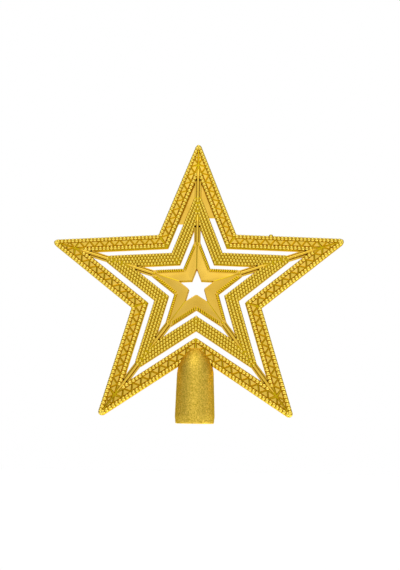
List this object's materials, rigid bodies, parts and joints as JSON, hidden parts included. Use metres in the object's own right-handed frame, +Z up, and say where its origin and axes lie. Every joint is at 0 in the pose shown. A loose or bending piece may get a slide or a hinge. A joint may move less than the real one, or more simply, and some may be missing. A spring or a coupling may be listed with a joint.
{
  "type": "christmas tree topper star",
  "caption": "Gold five-point star tree topper: nested openwork star rings with bead and rope relief, joined by spokes, on a round-ended sleeve that goes over a tree's leader.",
  "frame": {"origin": "centre of the sleeve's mouth, where the sleeve goes over the tree's leader", "axes": "+Z up along the sleeve's axis to the star's top point, -Y towards the star's front face, +X to the viewer's right"},
  "size_m": [0.1506, 0.0192, 0.1468],
  "materials": {
    "star_gold": "vacuum-metallised bright gold",
    "back_gold": "vacuum-metallised gold, plain",
    "sleeve_gold": "metallised gold over a fine sandy texture"
  },
  "bodies": {
    "root": {"outer_star_front": "star_gold", "outer_star_rear": "back_gold", "middle_star_front": "star_gold", "middle_star_rear": "back_gold", "inner_star_front": "star_gold", "inner_star_rear": "back_gold", "outer_spoke_top": "star_gold", "outer_spoke_upper_left": "star_gold", "outer_spoke_lower_left": "star_gold", "outer_spoke_lower_right": "star_gold", "outer_spoke_upper_right": "star_gold", "inner_spoke_top": "star_gold", "inner_spoke_upper_left": "star_gold", "inner_spoke_lower_left": "star_gold", "inner_spoke_lower_right": "star_gold", "inner_spoke_upper_right": "star_gold", "top_web": "star_gold", "socket_sleeve": "sleeve_gold"}
  },
  "joints": []
}
